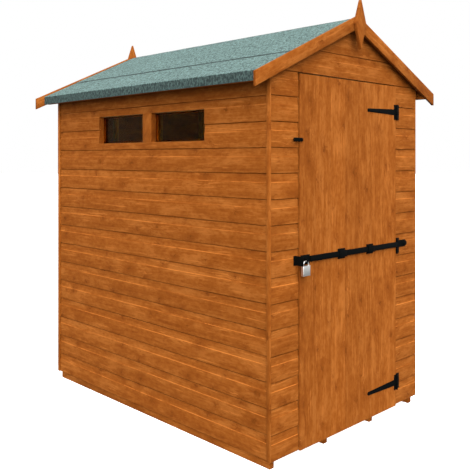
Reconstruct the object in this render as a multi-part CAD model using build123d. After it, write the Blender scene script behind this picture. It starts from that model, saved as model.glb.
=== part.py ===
from build123d import *
import math
import os

# Wooden apex garden shed. Millimetres, +Z up, +X to the right of the door, door end towards -Y.
# The origin is on the ground, at the middle of the footprint.

# Cladding and wall sizes
CLAD_WIDTH = 1212.0
CLAD_LENGTH = 1830.0
CLAD_THICK = 12.0
SIDE_HEIGHT = 1760.0
REVEAL = 42.0

# Shiplap profile: a flat face, a shoulder, a shallow scoop and the groove under the next board
BOARD_COVER = 116.4
BOARD_FLAT = 72.0
SHOULDER_RISE = 5.0
SHOULDER_DEPTH = 2.5
SCOOP_DEPTH = 4.0
GROOVE_HEIGHT = 3.5
GROOVE_DEPTH = 7.0

# Floor
BEARER_WIDTH = 28.0
BEARER_HEIGHT = 50.0
BEARER_COUNT = 4
BEARER_SETBACK = 8.0
FLOOR_THICK = 12.0
FLOOR_INSET = 0.5

# Wall framing
FRAME_SIZE = 28.0
FRAME_JOINT = 0.5
BACK_POST_OFFSET = 190.0
RIGHT_POST_OFFSET = 290.0
MID_RAIL_HEIGHT = 900.0

# Corner trims
TRIM_WIDTH = 24.0
TRIM_THICK = 6.0
TRIM_DROP = 4.0

# Roof
PITCH = 24.8
ROOF_BOARD = 11.0
FELT_THICK = 2.0
EAVE_OVERHANG = 84.0
EAVE_BATTEN = 34.0
GABLE_OVERHANG = 24.0
CAP_HALF_WIDTH = 466.0
PURLIN_DEPTH = 44.0
PURLIN_WIDTH = 28.0
PURLIN_OFFSET = 320.0

# Barge boards and finials
BARGE_WIDTH = 60.0
BARGE_THICK = 15.0
BARGE_RISE = 8.0
BARGE_END = 140.0
FINIAL_WIDTH = 90.0
FINIAL_HEIGHT = 250.0
FINIAL_THICK = 18.0
FINIAL_DROP = 23.0

# Windows in the left wall
WINDOW_CENTRE = -9.0
WINDOW_WIDTH = 423.0
WINDOW_DROP = 171.0
WINDOW_HEIGHT = 155.0
MULLION_WIDTH = 78.0
GLASS_DEPTH = 31.0
GLASS_THICK = 4.0
GLASS_PLAY = 1.0
BEAD_WIDTH = 9.0
BEAD_THICK = 6.0

# Door
DOOR_BOARDS = 7
DOOR_BOARD_WIDTH = 115.5
DOOR_CENTRE = -12.75
DOOR_JOINT_WIDTH = 3.0
DOOR_JOINT_DEPTH = 1.5
DOOR_GAP = 6.0
DOORWAY_DROP = 14.0
DOOR_PROUD = 8.0
DOOR_DROP = 2.0
DOOR_TOP_GAP = 7.0
LEDGE_WIDTH = 90.0
LEDGE_THICK = 20.0
LEDGE_INSET = 25.0
BRACE_WIDTH = 70.0

# Heights above the bottom of the cladding of what is fixed to the door
UPPER_HINGE_DROP = 141.0
LOWER_HINGE = 127.0
BAR_LEVEL = 878.0
BUTTON_LEVEL = 1433.5

# T hinges
KNUCKLE_RADIUS = 5.0
PIN_RADIUS = 2.5
PIN_PLAY = 0.06
LEAF_THICK = 3.0
KNUCKLE_GAP = 0.5
STRAP_LENGTH = 273.0
STRAP_ROOT = 32.0
STRAP_LEAF = 15.0
STRAP_LEAF_CLEARANCE = 7.0
STRAP_TIP = 17.5
PLATE_WIDTH = 37.0
PLATE_HEIGHT = 82.0

# Security bar
BAR_HEIGHT = 26.0
BAR_DEPTH = 12.0
BAR_INSET = 65.0
BAR_PLATE_HEIGHT = 83.0
BAR_PLATE_DROP = 9.0
BAR_LUG_HEIGHT = 38.0
BAR_LUG_END = 110.0
BOLT_RADIUS = 14.0
BOLT_RISE = 7.0
KEEPER_REACH = 254.0
KEEPER_SPACING = 244.5
KEEPER_WIDTH = 58.0
KEEPER_HEIGHT = 50.0
KEEPER_THICK = 3.0
KEEPER_PLAY = 0.3

# Hasp and padlock
HASP_HEIGHT = 44.0
HASP_DROP = 1.3
HASP_EDGE = 1.0
HASP_THICK = 4.0
EYE_INSET = 8.5
EYE_RISE = -4.0
EYE_REACH = 26.0
EYE_RADIUS = 6.5
EYE_COLLAR = 13.5
EYE_PLAY = 0.3
STAPLE_WIDTH = 16.0
STAPLE_CLEARANCE = 6.0
SHACKLE_RADIUS = 20.0
SHACKLE_ROD = 3.5
SHACKLE_SEAT = 12.0
LOCK_WIDTH = 50.0
LOCK_HEIGHT = 46.0
LOCK_DEPTH = 16.0
LOCK_CORNER = 3.0

# Turn button
BUTTON_OUTER = 51.0
BUTTON_INNER = 14.5
BUTTON_HEIGHT = 17.0
BUTTON_THICK = 6.0
BUTTON_STANDOFF = 1.0
SCREW_RADIUS = 4.5
SCREW_RISE = 2.5
SCREW_PLAY = 0.3

# Worked-out planes and levels
HALF_WIDTH = CLAD_WIDTH / 2
HALF_LENGTH = CLAD_LENGTH / 2
INNER_X = HALF_WIDTH - CLAD_THICK
INNER_Y = HALF_LENGTH - CLAD_THICK
FRAME_X = INNER_X - FRAME_SIZE
FRAME_Y = INNER_Y - FRAME_SIZE
FLOOR_X = INNER_X - FLOOR_INSET
FLOOR_Y = INNER_Y - FLOOR_INSET
FLOOR_TOP = BEARER_HEIGHT + FLOOR_THICK
SLOPE = math.tan(math.radians(PITCH))
COS_PITCH = math.cos(math.radians(PITCH))
EAVE_X = HALF_WIDTH + EAVE_OVERHANG
ROOF_Y = HALF_LENGTH + GABLE_OVERHANG
BARGE_Y = ROOF_Y + BARGE_THICK
DOOR_WIDTH = DOOR_BOARDS * DOOR_BOARD_WIDTH
DOOR_LEFT = DOOR_CENTRE - DOOR_WIDTH / 2
DOOR_RIGHT = DOOR_CENTRE + DOOR_WIDTH / 2
DOORWAY_LEFT = DOOR_LEFT - DOOR_GAP
DOORWAY_RIGHT = DOOR_RIGHT + DOOR_GAP
DOORWAY_TOP = REVEAL + SIDE_HEIGHT - DOORWAY_DROP
DOOR_BOTTOM = REVEAL - DOOR_DROP
DOOR_TOP = DOORWAY_TOP - DOOR_TOP_GAP
UPPER_HINGE = DOOR_TOP - REVEAL - UPPER_HINGE_DROP
DOOR_FACE = -HALF_LENGTH - DOOR_PROUD
DOOR_BACK = DOOR_FACE + CLAD_THICK
HINGE_X = DOOR_RIGHT + DOOR_GAP / 2
HINGE_Y = DOOR_FACE - KNUCKLE_RADIUS
BAR_Z = REVEAL + BAR_LEVEL
BAR_END = DOOR_LEFT + BAR_INSET
EYE_X = DOOR_LEFT + EYE_INSET
HEAD_Z = REVEAL + SIDE_HEIGHT - WINDOW_DROP
SILL_Z = HEAD_Z - WINDOW_HEIGHT


def roof_under(x, lift=0.0):
    """Height of the roof's underside at x, lifted square to the slope."""
    return REVEAL + SIDE_HEIGHT + (HALF_WIDTH - abs(x)) * SLOPE + lift / COS_PITCH


def block(x, y, z):
    """A box between pairs of limits."""
    size = [high - low for low, high in (x, y, z)]
    middle = [(high + low) / 2 for low, high in (x, y, z)]
    return Pos(*middle) * Box(*size)


def prism_x(points, x_low, x_high):
    """Extrude an outline of (y, z) points along X."""
    outline = Polyline(*[(x_low, y, z) for y, z in points], close=True)
    return extrude(make_face(outline), amount=x_high - x_low, dir=(1, 0, 0))


def prism_y(points, y_low, y_high):
    """Extrude an outline of (x, z) points along Y."""
    outline = Polyline(*[(x, y_low, z) for x, z in points], close=True)
    return extrude(make_face(outline), amount=y_high - y_low, dir=(0, 1, 0))


def prism_z(points, z_low, z_high):
    """Extrude an outline of (x, y) points along Z."""
    outline = Polyline(*[(x, y, z_low) for x, y in points], close=True)
    return extrude(make_face(outline), amount=z_high - z_low, dir=(0, 0, 1))


def cylinder_y(x, z, radius, y_low, y_high):
    """A round bar along Y."""
    return Pos(x, (y_low + y_high) / 2, z) * Rot(90, 0, 0) * Cylinder(radius, y_high - y_low)


def cylinder_z(x, y, radius, z_low, z_high):
    """A round bar along Z."""
    return Pos(x, y, (z_low + z_high) / 2) * Cylinder(radius, z_high - z_low)


def gather(*solids):
    """Several solids that don't touch, as one node."""
    return Compound([solid for piece in solids for solid in piece.solids()])


def bearer(index):
    """One floor bearer, which runs the length of the shed."""
    pitch = (2 * FLOOR_X - BEARER_WIDTH) / (BEARER_COUNT - 1)
    left = -FLOOR_X + index * pitch
    end = FLOOR_Y - BEARER_SETBACK
    return block((left, left + BEARER_WIDTH), (-end, end), (0, BEARER_HEIGHT))


def floor_panel():
    """The boarded floor, laid over the bearers."""
    return block((-FLOOR_X, FLOOR_X), (-FLOOR_Y, FLOOR_Y), (BEARER_HEIGHT, FLOOR_TOP))


def shiplap_face(bottom, top):
    """Depths and heights of a boarded face, from its bottom edge to past its top."""
    points = []
    while bottom < top:
        groove = bottom + BOARD_COVER - GROOVE_HEIGHT
        points += [(0, bottom), (0, bottom + BOARD_FLAT),
                   (SHOULDER_DEPTH, bottom + BOARD_FLAT + SHOULDER_RISE),
                   (SCOOP_DEPTH, groove), (GROOVE_DEPTH, groove),
                   (GROOVE_DEPTH, bottom + BOARD_COVER)]
        bottom += BOARD_COVER
    return points + [(CLAD_THICK, points[-1][1]), (CLAD_THICK, points[0][1])]


def end_boards(end, outline):
    """The end wall's boards within an outline of (x, z) points."""
    face = shiplap_face(REVEAL, roof_under(0))
    boards = prism_x([(end * (HALF_LENGTH - depth), z) for depth, z in face], -HALF_WIDTH, HALF_WIDTH)
    return boards & prism_y(outline, *sorted((end * HALF_LENGTH, end * INNER_Y)))


def gable_outline(bottom):
    """The gable's cladding, from a level bottom edge to the roof's slopes."""
    eave = roof_under(HALF_WIDTH)
    return [(-HALF_WIDTH, bottom), (HALF_WIDTH, bottom), (HALF_WIDTH, eave),
            (0, roof_under(0)), (-HALF_WIDTH, eave)]


def front_wall(side):
    """The strip of front cladding beside the doorway."""
    low, high = (-HALF_WIDTH, DOORWAY_LEFT) if side < 0 else (DOORWAY_RIGHT, HALF_WIDTH)
    return end_boards(-1, [(low, REVEAL), (high, REVEAL), (high, DOORWAY_TOP), (low, DOORWAY_TOP)])


def front_gable():
    """The front cladding over the doorway."""
    return end_boards(-1, gable_outline(DOORWAY_TOP))


def back_wall():
    """The whole back cladding."""
    return end_boards(1, gable_outline(REVEAL))


def side_wall(side):
    """A side's boards, their top cut to the roof's slope."""
    face = shiplap_face(REVEAL, roof_under(INNER_X))
    boards = prism_y([(side * (HALF_WIDTH - depth), z) for depth, z in face], -INNER_Y, INNER_Y)
    slope = [(side * HALF_WIDTH, REVEAL), (side * HALF_WIDTH, roof_under(HALF_WIDTH)),
             (side * INNER_X, roof_under(INNER_X)), (side * INNER_X, REVEAL)]
    return boards & prism_y(slope, -INNER_Y, INNER_Y)


def window_limits():
    """The two windows' limits along Y, front one first."""
    half = MULLION_WIDTH / 2
    return [(WINDOW_CENTRE - half - WINDOW_WIDTH, WINDOW_CENTRE - half),
            (WINDOW_CENTRE + half, WINDOW_CENTRE + half + WINDOW_WIDTH)]


def left_wall():
    """The left boards with one long opening for the window strip."""
    (front_low, _), (_, back_high) = window_limits()
    return side_wall(-1) - block((-HALF_WIDTH - 1, -INNER_X + 1), (front_low, back_high), (SILL_Z, HEAD_Z))


def window_mullion():
    """The upright between the two panes, flush with the boards' faces."""
    (_, front_high), (back_low, _) = window_limits()
    return block((-HALF_WIDTH, -FRAME_X), (front_high, back_low), (SILL_Z, HEAD_Z))


def corner_trim(side, end):
    """The strip that covers a corner, on the side wall's face."""
    x = sorted((side * HALF_WIDTH, side * (HALF_WIDTH + TRIM_THICK)))
    y = sorted((end * HALF_LENGTH, end * (HALF_LENGTH - TRIM_WIDTH)))
    return block(x, y, (REVEAL, REVEAL + SIDE_HEIGHT - TRIM_DROP))


def rafter(side, y):
    """A gable frame's sloping rail, under one slope of the roof."""
    inner = FRAME_JOINT / 2
    points = [(side * inner, roof_under(inner)), (side * INNER_X, roof_under(INNER_X)),
              (side * INNER_X, roof_under(INNER_X, -FRAME_SIZE)),
              (side * inner, roof_under(inner, -FRAME_SIZE))]
    return prism_y(points, *y)


def slope_post(x, y, bottom):
    """A post whose top is cut to the underside of the rafters."""
    low, high = x
    points = [(low, bottom), (high, bottom),
              (high, roof_under(high, -FRAME_SIZE) - FRAME_JOINT)]
    if low < 0 < high:
        points.append((0, roof_under(0, -FRAME_SIZE) - FRAME_JOINT))
    points.append((low, roof_under(low, -FRAME_SIZE) - FRAME_JOINT))
    return prism_y(points, *y)


def tie_rail(y):
    """The rail across a gable frame at the height of the doorway's top."""
    bottom = DOORWAY_TOP
    top = bottom + FRAME_SIZE
    reach = [HALF_WIDTH - (z + FRAME_JOINT - roof_under(HALF_WIDTH, -FRAME_SIZE)) / SLOPE
             for z in (bottom, top)]
    points = [(-reach[0], bottom), (reach[0], bottom), (reach[1], top), (-reach[1], top)]
    return prism_y(points, *y)


def gable_frame_top(y):
    """Rafters, tie rail and king post of a gable frame."""
    king = (-FRAME_SIZE / 2, FRAME_SIZE / 2)
    return [rafter(-1, y), rafter(1, y), tie_rail(y),
            slope_post(king, y, DOORWAY_TOP + FRAME_SIZE + FRAME_JOINT)]


def corner_posts(y):
    """The two corner posts of a gable frame."""
    return [slope_post(x, y, FLOOR_TOP) for x in ((-INNER_X, -FRAME_X), (FRAME_X, INNER_X))]


def front_frame():
    """The frame behind the front cladding, open at the doorway."""
    y = (-INNER_Y, -FRAME_Y)
    post_top = DOORWAY_TOP - FRAME_JOINT
    left_post = (DOORWAY_LEFT - FRAME_SIZE, DOORWAY_LEFT)
    right_post = (DOORWAY_RIGHT, DOORWAY_RIGHT + FRAME_SIZE)
    solids = corner_posts(y) + gable_frame_top(y)
    solids += [block(x, y, (FLOOR_TOP, post_top)) for x in (left_post, right_post)]
    rail_spans = [(-FRAME_X + FRAME_JOINT, left_post[0] - FRAME_JOINT),
                  (right_post[1] + FRAME_JOINT, FRAME_X - FRAME_JOINT)]
    for span in rail_spans:
        solids.append(block(span, y, (FLOOR_TOP, FLOOR_TOP + FRAME_SIZE)))
        solids.append(block(span, y, (MID_RAIL_HEIGHT, MID_RAIL_HEIGHT + FRAME_SIZE)))
    return gather(*solids)


def back_frame():
    """The frame behind the back cladding."""
    y = (INNER_Y - FRAME_SIZE, INNER_Y)
    solids = corner_posts(y) + gable_frame_top(y)
    rail_top = FLOOR_TOP + FRAME_SIZE
    solids.append(block((-FRAME_X + FRAME_JOINT, FRAME_X - FRAME_JOINT), y, (FLOOR_TOP, rail_top)))
    half = FRAME_SIZE / 2
    posts = [(centre - half, centre + half) for centre in (-BACK_POST_OFFSET, BACK_POST_OFFSET)]
    for x in posts:
        solids.append(block(x, y, (rail_top + FRAME_JOINT, DOORWAY_TOP - FRAME_JOINT)))
    edges = [-FRAME_X, posts[0][0], posts[0][1], posts[1][0], posts[1][1], FRAME_X]
    solids += mid_rails(edges, lambda span: block(span, y, mid_rail_levels()))
    return gather(*solids)


def mid_rail_levels():
    """The lower and upper face of the middle rails."""
    return (MID_RAIL_HEIGHT, MID_RAIL_HEIGHT + FRAME_SIZE)


def mid_rails(edges, make):
    """Short rails between the posts whose edges are listed in pairs."""
    pairs = zip(edges[0::2], edges[1::2])
    return [make((low + FRAME_JOINT, high - FRAME_JOINT)) for low, high in pairs]


def side_rails_and_posts(side, post_spans):
    """Top and bottom rails, end posts and the given posts of a side frame."""
    x = sorted((side * INNER_X, side * FRAME_X))
    end = FRAME_Y - FRAME_JOINT
    rail_bottom = roof_under(INNER_X) - FRAME_SIZE
    rail_top = [(side * INNER_X, roof_under(INNER_X)), (side * INNER_X, rail_bottom),
                (side * FRAME_X, rail_bottom), (side * FRAME_X, roof_under(FRAME_X))]
    solids = [prism_y(rail_top, -end, end), block(x, (-end, end), (FLOOR_TOP, FLOOR_TOP + FRAME_SIZE))]
    heights = (FLOOR_TOP + FRAME_SIZE + FRAME_JOINT, rail_bottom - FRAME_JOINT)
    ends = [(-end, -end + FRAME_SIZE), (end - FRAME_SIZE, end)]
    spans = [ends[0]] + post_spans + [ends[1]]
    solids += [block(x, span, heights) for span in spans]
    edges = [edge for span in spans for edge in span][1:-1]
    solids += mid_rails(edges, lambda span: block(x, span, mid_rail_levels()))
    return x, solids


def left_frame():
    """The left frame, with rails over and under the windows."""
    (front_low, _), (_, back_high) = window_limits()
    posts = [(front_low - FRAME_SIZE, front_low), (back_high, back_high + FRAME_SIZE)]
    x, solids = side_rails_and_posts(-1, posts)
    rail_span = (front_low + FRAME_JOINT, back_high - FRAME_JOINT)
    solids.append(block(x, rail_span, (SILL_Z - FRAME_SIZE, SILL_Z)))
    solids.append(block(x, rail_span, (HEAD_Z, HEAD_Z + FRAME_SIZE)))
    return gather(*solids)


def right_frame():
    """The right frame, behind a wall with no window."""
    half = FRAME_SIZE / 2
    posts = [(y - half, y + half) for y in (-RIGHT_POST_OFFSET, RIGHT_POST_OFFSET)]
    return gather(*side_rails_and_posts(1, posts)[1])


def window_glass(index):
    """One pane, let into its opening from inside."""
    low, high = window_limits()[index]
    face = -HALF_WIDTH + GLASS_DEPTH
    return block((face, face + GLASS_THICK), (low + GLASS_PLAY, high - GLASS_PLAY),
                 (SILL_Z + GLASS_PLAY, HEAD_Z - GLASS_PLAY))


def window_beads():
    """The glazing beads that hold the panes from inside."""
    face = -HALF_WIDTH + GLASS_DEPTH + GLASS_THICK
    x = (face, face + BEAD_THICK)
    play = GLASS_PLAY / 2
    rings = []
    for low, high in window_limits():
        ring = block(x, (low + play, high - play), (SILL_Z + play, HEAD_Z - play))
        ring -= block((x[0] - 1, x[1] + 1), (low + BEAD_WIDTH, high - BEAD_WIDTH),
                      (SILL_Z + BEAD_WIDTH, HEAD_Z - BEAD_WIDTH))
        rings.append(ring)
    return gather(*rings)


def roof_board(side):
    """One slope of the boarded roof."""
    points = [(0, roof_under(0)), (side * EAVE_X, roof_under(EAVE_X)),
              (side * EAVE_X, roof_under(EAVE_X, ROOF_BOARD)), (0, roof_under(0, ROOF_BOARD))]
    return prism_y(points, -ROOF_Y, ROOF_Y)


def eave_battens():
    """The batten under each eave's edge."""
    solids = []
    for side in (-1, 1):
        inner = EAVE_X - EAVE_BATTEN
        bottom = roof_under(EAVE_X) - EAVE_BATTEN
        points = [(side * EAVE_X, bottom), (side * EAVE_X, roof_under(EAVE_X)),
                  (side * inner, roof_under(inner)), (side * inner, bottom)]
        solids.append(prism_y(points, -ROOF_Y, ROOF_Y))
    return gather(*solids)


def purlins():
    """The ridge beam and one purlin half way down each slope."""
    y = (-FRAME_Y, FRAME_Y)
    half = PURLIN_WIDTH / 2
    bottom = roof_under(0) - PURLIN_DEPTH
    ridge = prism_y([(-half, bottom), (half, bottom), (half, roof_under(half)),
                     (0, roof_under(0)), (-half, roof_under(half))], *y)
    solids = [ridge]
    for side in (-1, 1):
        low, high = PURLIN_OFFSET - half, PURLIN_OFFSET + half
        bottom = roof_under(high) - PURLIN_DEPTH
        solids.append(prism_y([(side * low, bottom), (side * high, bottom),
                               (side * high, roof_under(high)), (side * low, roof_under(low))], *y))
    return gather(*solids)


def felt(side):
    """The felt over one slope, turned down over the eave."""
    outer = EAVE_X + FELT_THICK
    bottom = roof_under(EAVE_X) - EAVE_BATTEN
    points = [(0, roof_under(0, ROOF_BOARD)), (side * EAVE_X, roof_under(EAVE_X, ROOF_BOARD)),
              (side * EAVE_X, bottom), (side * outer, bottom),
              (side * outer, roof_under(outer, ROOF_BOARD + FELT_THICK)),
              (0, roof_under(0, ROOF_BOARD + FELT_THICK))]
    return prism_y(points, -ROOF_Y, ROOF_Y)


def felt_ridge():
    """The capping felt, bent over the ridge."""
    low = ROOF_BOARD + FELT_THICK
    high = low + FELT_THICK
    x = CAP_HALF_WIDTH
    points = [(-x, roof_under(x, low)), (0, roof_under(0, low)), (x, roof_under(x, low)),
              (x, roof_under(x, high)), (0, roof_under(0, high)), (-x, roof_under(x, high))]
    return prism_y(points, -ROOF_Y, ROOF_Y)


def barge(side, end):
    """One barge board, with a plumb cut at the ridge and at its foot."""
    top = ROOF_BOARD + 2 * FELT_THICK
    tip = HALF_WIDTH + BARGE_END
    rise = BARGE_RISE
    drop = BARGE_WIDTH / COS_PITCH
    points = [(0, roof_under(0, top) + rise), (side * tip, roof_under(tip, top) + rise),
              (side * tip, roof_under(tip, top) + rise - drop), (0, roof_under(0, top) + rise - drop)]
    return prism_y(points, *sorted((end * ROOF_Y, end * BARGE_Y)))


def finial(end):
    """The diamond board over the joint of the two barge boards."""
    centre = roof_under(0) - FINIAL_DROP
    half_width, half_height = FINIAL_WIDTH / 2, FINIAL_HEIGHT / 2
    points = [(-half_width, centre), (0, centre - half_height), (half_width, centre),
              (0, centre + half_height)]
    return prism_y(points, *sorted((end * BARGE_Y, end * (BARGE_Y + FINIAL_THICK))))


def door_boards():
    """The door's upright boards as one leaf, with a V at each joint."""
    half = DOOR_JOINT_WIDTH / 2
    outline = [(DOOR_LEFT, DOOR_FACE)]
    for index in range(1, DOOR_BOARDS):
        joint = DOOR_LEFT + index * DOOR_BOARD_WIDTH
        outline += [(joint - half, DOOR_FACE), (joint, DOOR_FACE + DOOR_JOINT_DEPTH),
                    (joint + half, DOOR_FACE)]
    outline += [(DOOR_RIGHT, DOOR_FACE), (DOOR_RIGHT, DOOR_BACK), (DOOR_LEFT, DOOR_BACK)]
    return prism_z(outline, DOOR_BOTTOM, DOOR_TOP)


def door_ledges():
    """Three ledges and two braces behind the door's boards."""
    x = (DOOR_LEFT + LEDGE_INSET, DOOR_RIGHT - LEDGE_INSET)
    y = (DOOR_BACK, DOOR_BACK + LEDGE_THICK)
    half = LEDGE_WIDTH / 2
    centres = [REVEAL + level for level in (LOWER_HINGE, BAR_LEVEL, UPPER_HINGE)]
    solids = [block(x, y, (centre - half, centre + half)) for centre in centres]
    for below, above in zip(centres, centres[1:]):
        bottom = below + half + FRAME_JOINT
        top = above - half - FRAME_JOINT
        points = [(x[1] - BRACE_WIDTH, bottom), (x[1], bottom), (x[0] + BRACE_WIDTH, top), (x[0], top)]
        solids.append(prism_y(points, *y))
    return gather(*solids)


def hinge_plate(z, height, knuckle_height, drop=0.0):
    """The wall leaf: two knuckles, the pin and a plate cranked back to the cladding."""
    bottom, top = z - drop - height / 2, z - drop + height / 2
    gap = knuckle_height / 2 + KNUCKLE_GAP
    face, step = -HALF_LENGTH, DOOR_FACE
    right = HINGE_X + PLATE_WIDTH
    crank = HINGE_X + KNUCKLE_RADIUS + LEAF_THICK
    outline = [(HINGE_X, step - LEAF_THICK), (crank, step - LEAF_THICK), (crank, face - LEAF_THICK),
               (right, face - LEAF_THICK), (right, face), (crank - LEAF_THICK, face),
               (crank - LEAF_THICK, step), (HINGE_X, step)]
    clear = KNUCKLE_RADIUS + LEAF_THICK - 1
    leaf = prism_z(outline, bottom, top)
    leaf -= block((HINGE_X - clear, crank + KNUCKLE_GAP), (HINGE_Y - clear, face + 1), (z - gap, z + gap))
    for low, high in ((bottom, z - gap), (z + gap, top)):
        leaf += cylinder_z(HINGE_X, HINGE_Y, KNUCKLE_RADIUS, low, high)
    return leaf + cylinder_z(HINGE_X, HINGE_Y, PIN_RADIUS, bottom, top)


def hinge_strap(z):
    """The long tapered leaf on the door, with its knuckle and its upright part beside the wall leaf's."""
    tip_radius = STRAP_TIP / 2
    tip_x = HINGE_X - STRAP_LENGTH + tip_radius
    root = STRAP_ROOT / 2
    y_low, y_high = DOOR_FACE - LEAF_THICK, DOOR_FACE
    strap = prism_y([(HINGE_X, z - root), (tip_x, z - tip_radius), (tip_x, z + tip_radius),
                     (HINGE_X, z + root)], y_low, y_high)
    strap += cylinder_y(tip_x, z, tip_radius, y_low, y_high)
    edge = HINGE_X - STRAP_LEAF_CLEARANCE
    strap += block((edge - STRAP_LEAF, edge), (y_low, y_high), (z - PLATE_HEIGHT / 2, z + PLATE_HEIGHT / 2))
    strap += cylinder_z(HINGE_X, HINGE_Y, KNUCKLE_RADIUS, z - root, z + root)
    return strap - cylinder_z(HINGE_X, HINGE_Y, PIN_RADIUS + PIN_PLAY, z - root - 1, z + root + 1)


def security_bar():
    """The bar across the door, from its knuckle to the eye for the padlock."""
    half = BAR_HEIGHT / 2
    bar = block((BAR_END, HINGE_X), (DOOR_FACE - BAR_DEPTH, DOOR_FACE), (BAR_Z - half, BAR_Z + half))
    bar += block((HINGE_X - BAR_DEPTH, HINGE_X), (HINGE_Y - KNUCKLE_RADIUS, DOOR_FACE),
                 (BAR_Z - half, BAR_Z + half))
    bar -= block((HINGE_X - KNUCKLE_RADIUS, HINGE_X + 1), (HINGE_Y - 2 * BAR_DEPTH, HINGE_Y),
                 (BAR_Z - half - 1, BAR_Z + half + 1))
    bar += cylinder_z(HINGE_X, HINGE_Y, KNUCKLE_RADIUS, BAR_Z - half, BAR_Z + half)
    bar -= cylinder_z(HINGE_X, HINGE_Y, PIN_RADIUS + PIN_PLAY, BAR_Z - half - 1, BAR_Z + half + 1)
    hasp = block((DOOR_LEFT + HASP_EDGE, BAR_END), (DOOR_FACE - HASP_THICK, DOOR_FACE), hasp_levels())
    return bar + hasp + eye_flange()


def hasp_levels():
    """The lower and upper edge of the plates at the padlock."""
    centre = BAR_Z - HASP_DROP
    return (centre - HASP_HEIGHT / 2, centre + HASP_HEIGHT / 2)


def eye_flange():
    """The plate that stands out of the door between the shackle's legs, with the eye in it."""
    eye_y = DOOR_FACE - EYE_REACH
    eye_z = crown_level() + EYE_RADIUS - SHACKLE_ROD - EYE_PLAY
    x = (EYE_X - HASP_THICK / 2, EYE_X + HASP_THICK / 2)
    flange = block(x, (eye_y, DOOR_FACE), (crown_level() - EYE_COLLAR, crown_level() + EYE_COLLAR))
    flange += turned_x(x, eye_y, crown_level(), EYE_COLLAR)
    return flange - turned_x((x[0] - 1, x[1] + 1), eye_y, eye_z, EYE_RADIUS)


def turned_x(x, y, z, radius):
    """A disc or round bar along X."""
    low, high = x
    return Pos((low + high) / 2, y, z) * Rot(0, 90, 0) * Cylinder(radius, high - low)


def crown_level():
    """Height of the middle of the shackle's crown, which is the padlock's hanging axis."""
    return BAR_Z + EYE_RISE


def bar_keepers():
    """The two keepers that hold the bar to the door."""
    half_bar = BAR_HEIGHT / 2 + KEEPER_PLAY
    solids = []
    for centre in (HINGE_X - KEEPER_REACH - KEEPER_SPACING, HINGE_X - KEEPER_REACH):
        x = (centre - KEEPER_WIDTH / 2, centre + KEEPER_WIDTH / 2)
        front = DOOR_FACE - BAR_DEPTH - KEEPER_PLAY
        lip, crown = KEEPER_HEIGHT / 2, half_bar + KEEPER_THICK
        points = [(DOOR_FACE, -lip), (DOOR_FACE - KEEPER_THICK, -lip),
                  (DOOR_FACE - KEEPER_THICK, -crown), (front - KEEPER_THICK, -crown),
                  (front - KEEPER_THICK, crown), (DOOR_FACE - KEEPER_THICK, crown),
                  (DOOR_FACE - KEEPER_THICK, lip), (DOOR_FACE, lip), (DOOR_FACE, half_bar),
                  (front, half_bar), (front, -half_bar), (DOOR_FACE, -half_bar)]
        solids.append(prism_x([(y, BAR_Z + z) for y, z in points], *x))
    return gather(*solids)


def bar_hinge_plate():
    """The bar's wall leaf, with a lug that is bolted through the wall."""
    plate = hinge_plate(BAR_Z, BAR_PLATE_HEIGHT, BAR_HEIGHT, BAR_PLATE_DROP)
    radius = BAR_LUG_HEIGHT / 2
    end = HINGE_X + BAR_LUG_END - radius
    face = -HALF_LENGTH
    plate += block((HINGE_X + PLATE_WIDTH - 1, end), (face - LEAF_THICK, face),
                   (BAR_Z - radius, BAR_Z + radius))
    plate += cylinder_y(end, BAR_Z, radius, face - LEAF_THICK, face)
    return plate + cylinder_y(end, BAR_Z, BOLT_RADIUS, face - LEAF_THICK - BOLT_RISE, face - LEAF_THICK)


def staple_plate():
    """The angle on the wall that the padlock's eye comes up beside."""
    face = -HALF_LENGTH
    right = EYE_X - LOCK_WIDTH / 2 - STAPLE_CLEARANCE
    plate = block((right - STAPLE_WIDTH, right), (face - HASP_THICK, face), hasp_levels())
    reach = DOOR_FACE - EYE_REACH - EYE_COLLAR
    return plate + block((right - HASP_THICK, right), (reach, face), hasp_levels())


def lock_top():
    """Height of the padlock body's upper face."""
    return crown_level() - SHACKLE_RADIUS


def padlock_body():
    """The padlock's body, bored for the two legs of the shackle."""
    y = DOOR_FACE - EYE_REACH
    top = lock_top()
    body = Pos(EYE_X, y, top - LOCK_HEIGHT / 2) * Box(LOCK_WIDTH, LOCK_DEPTH, LOCK_HEIGHT)
    body = fillet(body.edges().filter_by(Axis.Z), LOCK_CORNER)
    for side in (-1, 1):
        body -= cylinder_z(EYE_X + side * SHACKLE_RADIUS, y, SHACKLE_ROD + PIN_PLAY,
                           top - SHACKLE_SEAT, top + 1)
    return body


def padlock_shackle():
    """The bent rod through the eye."""
    y = DOOR_FACE - EYE_REACH
    top = lock_top()
    left, right = EYE_X - SHACKLE_RADIUS, EYE_X + SHACKLE_RADIUS
    foot = top - SHACKLE_SEAT
    path = Line((left, y, foot), (left, y, top))
    path += ThreePointArc((left, y, top), (EYE_X, y, top + SHACKLE_RADIUS), (right, y, top))
    path += Line((right, y, top), (right, y, foot))
    section = Plane(origin=(left, y, foot), z_dir=(0, 0, 1)) * Circle(SHACKLE_ROD)
    return sweep(section, path=path)


def turn_button():
    """The flat turn button with its round-headed screw."""
    z = REVEAL + BUTTON_LEVEL
    back = DOOR_FACE - BUTTON_STANDOFF
    front = back - BUTTON_THICK
    radius = BUTTON_HEIGHT / 2
    left, right = DOOR_LEFT - BUTTON_OUTER + radius, DOOR_LEFT + BUTTON_INNER - radius
    button = block((left, right), (front, back), (z - radius, z + radius))
    for x in (left, right):
        button += cylinder_y(x, z, radius, front, back)
    return button + cylinder_y(right, z, SCREW_RADIUS, front - SCREW_RISE, DOOR_FACE - SCREW_PLAY)


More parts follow.
